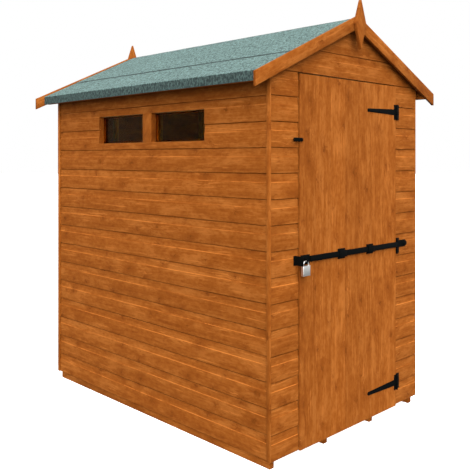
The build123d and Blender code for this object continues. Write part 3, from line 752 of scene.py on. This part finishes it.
def shiplap_outline(sizes):
    """One board from its lip round to its rebate, as (depth, height) points and their edge marks of painted
    highlight and painted shade.
    """
    top = sizes.cover - sizes.groove
    shoulder_top = sizes.flat + sizes.shoulder_rise
    lip = arc((sizes.arris, sizes.arris), sizes.arris, 270, 180, 3)
    shoulder = arc((sizes.shoulder_depth, sizes.flat), (sizes.shoulder_depth, sizes.shoulder_rise),
                   180, 90, 5)
    scoop = []
    for step in (0.2, 0.4, 0.6, 0.8, 1.0):
        hollow = sizes.hollow * math.sin(math.pi * step)
        depth = sizes.shoulder_depth + (sizes.scoop_depth - sizes.shoulder_depth) * step + hollow
        scoop.append((depth, shoulder_top + (top - shoulder_top) * step))
    behind = sizes.lip + sizes.play
    rebate = sizes.tongue + sizes.play
    back = [(behind, top), (behind, sizes.cover + sizes.tongue), (BOARD_THICK, sizes.cover + sizes.tongue),
            (BOARD_THICK, rebate), (sizes.lip, rebate), (sizes.lip, 0.0)]
    # Edge marks: painted highlight on the lip and the shoulder, painted shade in the groove under the next
    # board.
    wear = [0.3] * len(lip) + [0.0, 0.2, 0.6, 0.9, 0.6, 0.2] + [0.0] * 4 + [-0.1] + [-0.35, -0.35] + [0.0] * 4
    return lip + shoulder + scoop + back, wear


def wall_boards(wall, sizes, ridge, slope, opening=None):
    """Every board of a wall, cut to the roof and round an opening."""
    outline, wear = shiplap_outline(sizes)
    whole = Mould()
    start, end = wall.span
    for row in wall.rows:
        bottom = row * sizes.cover
        parts = [(start, end, None, None)]
        if opening and bottom < opening[3] and bottom + sizes.cover > opening[2]:
            low, high, sill, head = opening
            parts = [(start, low, None, None), (high, end, None, None)]
            if bottom < sill:
                parts.append((low, high, sill, None))
            if bottom + sizes.cover > head:
                parts.append((low, high, None, head))
        for first, last, below, over in parts:
            mould = Mould()
            run_board(mould, outline, first, last,
                      lambda along, depth, height: wall.place(along, depth, bottom + height),
                      random.Random("%s %d %.1f" % (wall.name, row, start)),
                      sizes.station, sizes.warp, edges=wear)
            if below:
                mould.cut(wall.place(0, 0, below), UP, 1)
            if over:
                mould.cut(wall.place(0, 0, over), -UP, 1)
            whole.join(mould)
    for side in (-1, 1):
        whole.cut(Vector((0, 0, ridge)), Vector((side * math.sin(slope), 0, math.cos(slope))), 1)
    return whole


def nail_lines(wall, sizes, radius, lines, ridge, slope, skip=None):
    """A nail through each board over each post."""
    mould = Mould()
    nail_height = 0.022
    for row in wall.rows:
        for along in lines:
            height = row * sizes.cover + nail_height
            place = wall.place(along, 0, height)
            if skip and skip[0] < along < skip[1] and skip[2] < height < skip[3]:
                continue
            if place.z > ridge - abs(place.x) * math.tan(slope) - radius:
                continue
            dome_head(mould, place, wall.outward, radius, radius * 0.25, sides=8, rings=2)
    return mould


def shed_walls(sizes):
    """The six boarded wall sections by the node that each stands for."""
    base = LEFT_LOW.z
    rows = math.ceil((LEFT_HIGH.z - base) / sizes.cover)
    gable_rows = math.ceil((BACK_HIGH.z - base) / sizes.cover)
    side, half = (LEFT_LOW.y, LEFT_HIGH.y), FRONT_RIGHT_HIGH.x
    beside = range(sizes.doorway_rows)
    front, back = (0, FRONT_LEFT_LOW.y, base), (0, BACK_HIGH.y, base)
    left, right = (LEFT_LOW.x, 0, base), (RIGHT_HIGH.x, 0, base)
    run_x, run_y = (1, 0, 0), (0, 1, 0)
    return {
        "left_wall": Wall("left", left, run_y, (-1, 0, 0), side, range(rows)),
        "right_wall": Wall("right", right, run_y, (1, 0, 0), side, range(rows)),
        "front_wall_left": Wall("front left", front, run_x, (0, -1, 0),
                                (-half, FRONT_LEFT_HIGH.x + sizes.gap_fill), beside),
        "front_wall_right": Wall("front right", front, run_x, (0, -1, 0), (FRONT_RIGHT_LOW.x, half), beside),
        "front_gable": Wall("front gable", front, run_x, (0, -1, 0), (-half, half),
                            range(sizes.doorway_rows, gable_rows)),
        "back_wall": Wall("back", back, run_x, (0, 1, 0), (-half, half), range(gable_rows)),
    }


def nail_posts():
    """Where the posts stand behind each wall, along the wall."""
    end_post = LEFT_HIGH.y - 0.02
    half_post = 0.014
    corner = FRONT_RIGHT_HIGH.x - 0.026
    doorway = (FRONT_LEFT_HIGH.x - half_post, FRONT_RIGHT_LOW.x + half_post)
    panes = (PANE_FRONT_LOW.y - half_post, PANE_BACK_HIGH.y + half_post)
    return {
        "left_wall": [-end_post, panes[0], panes[1], end_post],
        "right_wall": [-end_post, -0.29, 0.29, end_post],
        "front_wall_left": [-corner, doorway[0]],
        "front_wall_right": [doorway[1], corner],
        "front_gable": [-corner, doorway[0], 0, doorway[1], corner],
        "back_wall": [-corner, -0.19, 0.19, corner],
    }


# Operators

class ShedOperator:
    """What the shed's operators share."""
    bl_options = {"REGISTER", "UNDO"}

    def execute(self, context):
        self.build(context.scene)
        return {"FINISHED"}


class SHED_OT_walls(ShedOperator, bpy.types.Operator):
    """Board the walls and gables"""
    bl_idname = "shed.walls"
    bl_label = "Shiplap walls"

    def build(self, scene):
        sizes = scene.shed_boards
        slope = scene.shed_roof.pitch
        ridge = BACK_HIGH.z
        opening = (PANE_FRONT_LOW.y - 0.001, PANE_BACK_HIGH.y + 0.001,
                   MULLION_LOW.z - LEFT_LOW.z, MULLION_HIGH.z - LEFT_LOW.z)
        posts = nail_posts()
        for node, wall in shed_walls(sizes).items():
            gap = opening if node == "left_wall" else None
            boards = wall_boards(wall, sizes, ridge, slope, gap)
            boards.piece("boards_" + node, ["stained", "end_grain"], "shed", "stained_boards", node)
            nails = nail_lines(wall, sizes, scene.shed_metal.nail, posts[node], ridge, slope, gap)
            nails.piece("nails_" + node, ["end_grain"], "shed", "stained_boards")


class SHED_OT_door(ShedOperator, bpy.types.Operator):
    """Hang the door's upright boards and their ledges"""
    bl_idname = "shed.door"
    bl_label = "Boarded door"

    def build(self, scene):
        sizes = scene.shed_boards
        width = (DOOR_HIGH.x - DOOR_LOW.x) / sizes.door_boards
        thick = DOOR_HIGH.y - DOOR_LOW.y
        vee, gap, shade = sizes.door_vee, sizes.play / 2, sizes.door_shade
        outline = [(0, gap + vee), (0, gap + vee + shade), (0, width - gap - vee - shade),
                   (0, width - gap - vee), (vee, width - gap), (thick, width - gap), (thick, gap), (vee, gap)]
        # Edge marks, all painted shade: a darker band beside each joint, darker in the vee, darkest at the
        # door's outer edges.
        wear = [-0.25, 0, 0, -0.25, -0.5, 0, 0, -0.5]
        last = sizes.door_boards - 1
        door = Mould()
        for index in range(sizes.door_boards):
            left = DOOR_LOW.x + index * width
            painted_joint_shade = list(wear)
            if index == 0:
                painted_joint_shade[0], painted_joint_shade[7] = 0, -0.3
            if index == last:
                painted_joint_shade[3], painted_joint_shade[4] = -0.5, -0.9
            run_board(door, outline, DOOR_LOW.z, DOOR_HIGH.z,
                      lambda along, depth, across: Vector((left + across, DOOR_LOW.y + depth, along)),
                      random.Random("door board %d" % index), sizes.station, 0.0, edges=painted_joint_shade)
        door.piece("door_leaf", ["stained", "end_grain"], "door", "stained_boards", "door_boards")
        eased_timber("door_ledges_and_braces", ["door_ledges"], ["bare", "bare"], "door",
                     "inner_timber", sizes.arris)


class SHED_OT_trim(ShedOperator, bpy.types.Operator):
    """Fit the corner strips, barge boards, finials, mullion and bearers"""
    bl_idname = "shed.trim"
    bl_label = "Stained trim"

    def build(self, scene):
        arris = scene.shed_boards.arris
        stained = ["stained", "end_grain"]
        eased_timber("corner_strips", ["corner_trims"], stained, "shed", "stained_boards", arris)
        for node in ("barge_front_left", "barge_front_right", "barge_back_left", "barge_back_right"):
            eased_timber("eased_" + node, [node], stained, "shed", "stained_boards", 1.4 * arris, -0.4)
        for node in ("finial_front", "finial_back"):
            eased_timber("eased_" + node, [node], stained, "shed", "stained_boards", arris, 0.6)
        mullion = eased_timber("mullion_strip", ["window_mullion"], stained, "shed", "stained_boards", arris)
        for face in mullion.data.polygons:
            if abs(face.normal.y) > 0.9:
                face.material_index = 1
        bearers = ["bearer_1", "bearer_2", "bearer_3", "bearer_4"]
        eased_timber("floor_bearers", bearers, stained, "shed", "inner_timber", arris)


class SHED_OT_framing(ShedOperator, bpy.types.Operator):
    """Dress the framing, purlins, beads and battens"""
    bl_idname = "shed.framing"
    bl_label = "Framing"

    def build(self, scene):
        arris = scene.shed_boards.arris
        for node in ("front_frame", "back_frame", "left_frame", "right_frame", "purlins", "window_beads"):
            piece = eased_timber("eased_" + node, [node], ["bare", "bare", "end_grain"], "shed",
                                 "inner_timber", arris / 2 if node == "window_beads" else arris)
            self.darken_jambs(piece)
        eased_timber("eave_boards", ["eave_battens"], ["stained", "end_grain"], "shed",
                     "inner_timber", arris)


    def darken_jambs(self, piece):
        """Give the faces that line the window recess the darker end-grain finish."""
        margin, post = 0.003, 0.03
        for face in piece.data.polygons:
            levels = [piece.data.vertices[index].co.z for index in face.vertices]
            sunk = face.center.x < PANE_FRONT_HIGH.x + post
            beside = PANE_FRONT_LOW.y - margin < face.center.y < PANE_BACK_HIGH.y + margin
            if sunk and beside and min(levels) < PANE_FRONT_HIGH.z and max(levels) > PANE_FRONT_LOW.z:
                face.material_index = 2


class SHED_OT_decks(ShedOperator, bpy.types.Operator):
    """Board the floor and the two roof slopes"""
    bl_idname = "shed.decks"
    bl_label = "Floor and roof boards"

    def build(self, scene):
        sizes = scene.shed_boards
        self.board_floor(sizes)
        for side, node in ((-1, "roof_board_left"), (1, "roof_board_right")):
            self.board_slope(sizes, scene.shed_roof.pitch, side, node)

    def deck_outline(self, width, thick, vee):
        """A deck board's section, as (depth, across) points."""
        return [(0, vee), (0, width - vee), (vee, width), (thick, width), (thick, 0), (vee, 0)]

    def board_floor(self, sizes):
        """Floor boards across the bearers."""
        length = FLOOR_HIGH.y - FLOOR_LOW.y
        count = round(length / sizes.floor_board)
        width = length / count
        outline = self.deck_outline(width - sizes.play, FLOOR_HIGH.z - FLOOR_LOW.z, sizes.door_vee)
        deck = Mould()
        for index in range(count):
            front = FLOOR_LOW.y + index * width
            run_board(deck, outline, FLOOR_LOW.x, FLOOR_HIGH.x,
                      lambda along, depth, across: Vector((along, front + across, FLOOR_HIGH.z - depth)),
                      random.Random("floor board %d" % index), sizes.station, 0.0)
        deck.piece("floor_deck", ["bare", "bare"], "shed", "inner_timber", "floor")

    def board_slope(self, sizes, slope, side, node):
        """Roof boards along the shed, faced downwards."""
        length = ROOF_HIGH.x / math.cos(slope)
        count = round(length / sizes.floor_board)
        width = length / count
        thick = (ROOF_HIGH.z - BACK_HIGH.z) * math.cos(slope)
        outline = self.deck_outline(width - sizes.play, thick, sizes.door_vee)
        down = Vector((side * math.cos(slope), 0, -math.sin(slope)))
        square = Vector((side * math.sin(slope), 0, math.cos(slope)))
        apex = Vector((0, 0, BACK_HIGH.z))
        deck = Mould()
        for index in range(count):
            start = index * width
            run_board(deck, outline, ROOF_LOW.y, ROOF_HIGH.y,
                      lambda along, depth, across: (apex + down * (start + across) + square * depth
                                                    + Vector((0, along, 0))),
                      random.Random("%s %d" % (node, index)), sizes.station, 0.0)
        deck.cut(apex, Vector((-side, 0, 0)))
        deck.cut(Vector((side * ROOF_HIGH.x, 0, 0)), Vector((side, 0, 0)))
        deck.piece("deck_" + node, ["bare", "bare"], "shed", "inner_timber", node)


class SHED_OT_felt(ShedOperator, bpy.types.Operator):
    """Lay the felt on both slopes and the capping over the ridge"""
    bl_idname = "shed.felt"
    bl_label = "Roofing felt"

    def build(self, scene):
        roof = scene.shed_roof
        for side, node in ((-1, "felt_left"), (1, "felt_right")):
            path = self.slope_path(roof, side)
            self.sheet("sheet_" + node, node, path, roof, drop_from=len(path) - 8)
        self.sheet("sheet_felt_ridge", "felt_ridge", self.cap_path(roof), roof)

    def slope_path(self, roof, side):
        """The felt's upper face from the ridge down, round the eave and down the batten."""
        slope, outer = math.tan(roof.pitch), FELT_HIGH.x
        steps = 22
        reach = outer - roof.bend * 0.7
        # Extra rows that give the painted shadow below the capping a sharp edge.
        cap_shadow_rows = [CAP_HIGH.x + roof.cap_shadow_width, CAP_HIGH.x + 4 * roof.cap_shadow_width]
        rows = sorted([reach * step / steps for step in range(steps + 1)] + cap_shadow_rows)
        path = [(side * x, FELT_HIGH.z - x * slope) for x in rows]
        centre = (outer - roof.bend, FELT_HIGH.z - outer * slope - roof.bend * 0.55)
        bend = arc(centre, roof.bend, 60, 0, 4)
        path += [(side * x, z) for x, z in bend]
        path += [(side * outer, bend[-1][1] + (FELT_LOW.z - bend[-1][1]) * step / 3) for step in (1, 2, 3)]
        return path

    def cap_path(self, roof):
        """The capping's upper face from one lower edge over the ridge to the other."""
        slope, reach, steps = math.tan(roof.pitch), CAP_HIGH.x, 16
        crown = roof.crown
        side = []
        for step in range(steps):
            x = reach - (reach - crown) * step / (steps - 1)
            side.append((x, CAP_HIGH.z - x * slope))
        drop = crown * slope
        over = [(crown * t, CAP_HIGH.z - drop * (0.5 + 0.5 * t * t)) for t in (0.66, 0.33, 0.0)]
        right = side + over
        return [(-x, z) for x, z in right[:-1]] + right[::-1]

    def sheet(self, name, node, path, roof, drop_from=None):
        """A sheet with the felt's thickness under a path of (x, z) points."""
        low, high = FELT_LOW.y, FELT_HIGH.y
        count = round((high - low) / roof.strip) + 1
        normals = self.normals(path)
        run = [0.0]
        for here, after in zip(path, path[1:]):
            run.append(run[-1] + math.dist(here, after))
        mould = Mould()
        layers = []
        for depth in (0.0, roof.felt):
            rows = []
            for index in range(count):
                y = low + (high - low) * index / (count - 1)
                row = []
                for (x, z), (nx, nz), distance in zip(path, normals, run):
                    wave = noise.noise(Vector((x * 3.1, y * 4.3, distance * 1.7)))
                    crease = noise.noise(Vector((distance * 14, y * 9, 5.0)))
                    lift = roof.ripple * (0.8 * wave + 0.35 * crease) - depth
                    place = Vector((x + nx * lift, y, z + nz * lift))
                    # Mark the band just below the capping for its painted shadow.
                    painted_cap_shadow = drop_from is not None and abs(x) < CAP_HIGH.x + 1.25 * roof.cap_shadow_width
                    row.append(mould.point(place, (y, distance, x), edge=float(painted_cap_shadow)))
                rows.append(row)
            layers.append(rows)
        self.skin(mould, layers, drop_from)
        self.hem(mould, *layers)
        mould.piece(name, ["felt", "tar", "felt_drop"], "shed", "roof_felt", node)

    def normals(self, path):
        """The upward normal at each point of a path."""
        found = []
        for index in range(len(path)):
            here = path[max(index - 1, 0)]
            after = path[min(index + 1, len(path) - 1)]
            dx, dz = after[0] - here[0], after[1] - here[1]
            length = math.hypot(dx, dz)
            turn = 1 if path[-1][0] > path[0][0] else -1
            found.append((-dz / length * turn, dx / length * turn))
        return found

    def skin(self, mould, layers, drop_from):
        """The upper and lower face."""
        for layer, rows in enumerate(layers):
            for near, far in zip(rows, rows[1:]):
                for index in range(len(near) - 1):
                    face = mould.bm.faces.new((near[index], near[index + 1], far[index + 1], far[index]))
                    drop = drop_from is not None and index >= drop_from + 3
                    # The band turned down over the eave takes the darker felt, a painted shade.
                    face.material_index = 1 if layer else (2 if drop else 0)

    def hem(self, mould, upper, lower):
        """The cut edges all round."""
        borders = [(upper[0], lower[0]), (upper[-1], lower[-1])]
        borders += [([row[end] for row in upper], [row[end] for row in lower]) for end in (0, -1)]
        for top, bottom in borders:
            for index in range(len(top) - 1):
                corners = (top[index], top[index + 1], bottom[index + 1], bottom[index])
                mould.bm.faces.new(corners).material_index = 1


class SHED_OT_windows(ShedOperator, bpy.types.Operator):
    """Glaze the two windows"""
    bl_idname = "shed.windows"
    bl_label = "Window panes"

    def build(self, scene):
        for node in ("window_glass_front", "window_glass_back"):
            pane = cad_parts[node]
            for slot in pane.material_slots:
                slot.material = finishes()["glass"]


class SHED_OT_ironwork(ShedOperator, bpy.types.Operator):
    """Fit the hinges, the security bar and the turn button"""
    bl_idname = "shed.ironwork"
    bl_label = "Ironwork"

    def build(self, scene):
        metal = scene.shed_metal
        for name in ("upper", "lower"):
            self.iron(metal, name + "_hinge_strap", "door", self.strap_screws)
            self.iron(metal, name + "_hinge_plate", "shed", self.plate_screws)
        self.iron(metal, "security_bar", "door")
        self.iron(metal, "bar_keepers", "door", self.keeper_screws)
        self.iron(metal, "bar_hinge_plate", "shed", self.plate_screws)
        self.iron(metal, "staple_plate", "shed")
        self.iron(metal, "turn_button", "turn_button")

    def iron(self, metal, node, body, screws=None):
        """One eased piece of ironwork with its screws."""
        places = screws(metal, *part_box(node)) if screws else ()
        eased_metal("iron_" + node, node, "iron", body, "black_ironwork", metal.ease, places, metal.screw)

    def strap_screws(self, metal, low, high):
        """Three screws along a strap's leaf."""
        middle = (low.z + high.z) / 2
        face = DOOR_LOW.y - metal.leaf
        reach = high.x - low.x
        return [Vector((low.x + reach * share, face, middle)) for share in (0.06, 0.4, 0.8)]

    def plate_screws(self, metal, low, high):
        """Two screws near the ends of a wall plate."""
        x, inset = low.x + 0.027, 0.012
        face = FRONT_LEFT_LOW.y - metal.leaf
        return [Vector((x, face, z)) for z in (low.z + inset, high.z - inset)]

    def keeper_screws(self, metal, low, high):
        """Screws through the flanges of both keepers."""
        face = DOOR_LOW.y - metal.leaf
        centres = [low.x + metal.keeper / 2, high.x - metal.keeper / 2]
        aside, inset = 0.022, 0.0043
        return [Vector((x + step, face, z)) for x in centres for step in (-aside, aside)
                for z in (low.z + inset, high.z - inset)]


class SHED_OT_padlock(ShedOperator, bpy.types.Operator):
    """Hang the padlock"""
    bl_idname = "shed.padlock"
    bl_label = "Padlock"

    def build(self, scene):
        eased_metal("steel_padlock_body", "padlock_body", "steel", "padlock", "padlock_steel", 0.0015)
        eased_metal("steel_padlock_shackle", "padlock_shackle", "steel", "padlock", "padlock_steel", 0.0003)


class SHED_OT_studio(ShedOperator, bpy.types.Operator):
    """Set up the floor, the light and the camera"""
    bl_idname = "shed.studio"
    bl_label = "Studio"

    def build(self, scene):
        studio = scene.shed_studio
        self.floor(scene, studio)
        self.lights(scene, studio)
        self.camera(scene, studio)

    def floor(self, scene, studio):
        """A wide disc under the shed."""
        bm = bmesh.new()
        bmesh.ops.create_circle(bm, cap_ends=True, segments=96, radius=studio.floor)
        mesh = bpy.data.meshes.new("studio_floor")
        bm.to_mesh(mesh)
        bm.free()
        mesh.materials.append(finishes()["floor"])
        floor = bpy.data.objects.new("studio_floor", mesh)
        scene.collection.objects.link(floor)
        floor.visible_diffuse = False
        floor.visible_glossy = False

    def lights(self, scene, studio):
        """A bright dome over a dim ground, and one wide overhead light."""
        world = bpy.data.worlds.new("studio_dome")
        world.use_nodes = True
        tree = world.node_tree
        sky = tree.nodes["Background"]
        place = tree.nodes.new("ShaderNodeTexCoord")
        height = tree.nodes.new("ShaderNodeSeparateXYZ")
        rise = tree.nodes.new("ShaderNodeMapRange")
        levels = {"From Min": -0.12, "From Max": -0.03, "To Min": studio.ground, "To Max": studio.dome}
        for name, value in levels.items():
            rise.inputs[name].default_value = value
        sky.inputs["Color"].default_value = (1, 1, 1, 1)
        tree.links.new(place.outputs["Generated"], height.inputs["Vector"])
        tree.links.new(height.outputs["Z"], rise.inputs["Value"])
        tree.links.new(rise.outputs["Result"], sky.inputs["Strength"])
        scene.world = world
        key = bpy.data.lights.new("key_light", "SUN")
        key.energy = studio.key
        key.angle = studio.key_spread
        lamp = bpy.data.objects.new("key_light", key)
        lamp.rotation_euler = Vector(studio.key_from).to_track_quat("Z", "Y").to_euler()
        scene.collection.objects.link(lamp)
        scene.view_settings.view_transform = "Standard"

    def camera(self, scene, studio):
        """The camera, level, with the picture shifted down on the shed."""
        data = bpy.data.cameras.new("camera")
        data.lens = studio.lens
        data.shift_x = studio.shift_x
        data.shift_y = studio.shift_y
        camera = bpy.data.objects.new("camera", data)
        camera.location = studio.place
        camera.rotation_euler = (math.radians(90), 0, studio.yaw)
        scene.collection.objects.link(camera)
        scene.camera = camera


class SHED_PT_panel(bpy.types.Panel):
    """The shed's operators and sizes"""
    bl_label = "Garden shed"
    bl_idname = "SHED_PT_panel"
    bl_space_type = "VIEW_3D"
    bl_region_type = "UI"
    bl_category = "Shed"

    def draw(self, context):
        for operator in OPERATORS:
            self.layout.operator(operator.bl_idname)
        for group in GROUPS:
            box = self.layout.box()
            settings = getattr(context.scene, group)
            for name in GROUPS[group].__annotations__:
                box.prop(settings, name)


GROUPS = {
    "shed_boards": BoardSizes,
    "shed_roof": RoofSizes,
    "shed_metal": MetalSizes,
    "shed_colours": ShedColours,
    "shed_studio": StudioSettings,
}
OPERATORS = (SHED_OT_studio, SHED_OT_walls, SHED_OT_door, SHED_OT_trim, SHED_OT_framing, SHED_OT_decks,
             SHED_OT_felt, SHED_OT_windows, SHED_OT_ironwork, SHED_OT_padlock)


def register():
    """Register the settings, the operators and the panel."""
    for name, group in GROUPS.items():
        bpy.utils.register_class(group)
        setattr(bpy.types.Scene, name, PointerProperty(type=group))
    for operator in OPERATORS:
        bpy.utils.register_class(operator)
    bpy.utils.register_class(SHED_PT_panel)


def unregister():
    """Take the panel, the operators and the settings away again."""
    bpy.utils.unregister_class(SHED_PT_panel)
    for operator in reversed(OPERATORS):
        bpy.utils.unregister_class(operator)
    for name, group in GROUPS.items():
        delattr(bpy.types.Scene, name)
        bpy.utils.unregister_class(group)


def main():
    """Register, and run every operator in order."""
    register()
    for operator in OPERATORS:
        group, name = operator.bl_idname.split(".")
        getattr(getattr(bpy.ops, group), name)()


if __name__ == "__main__":
    main()
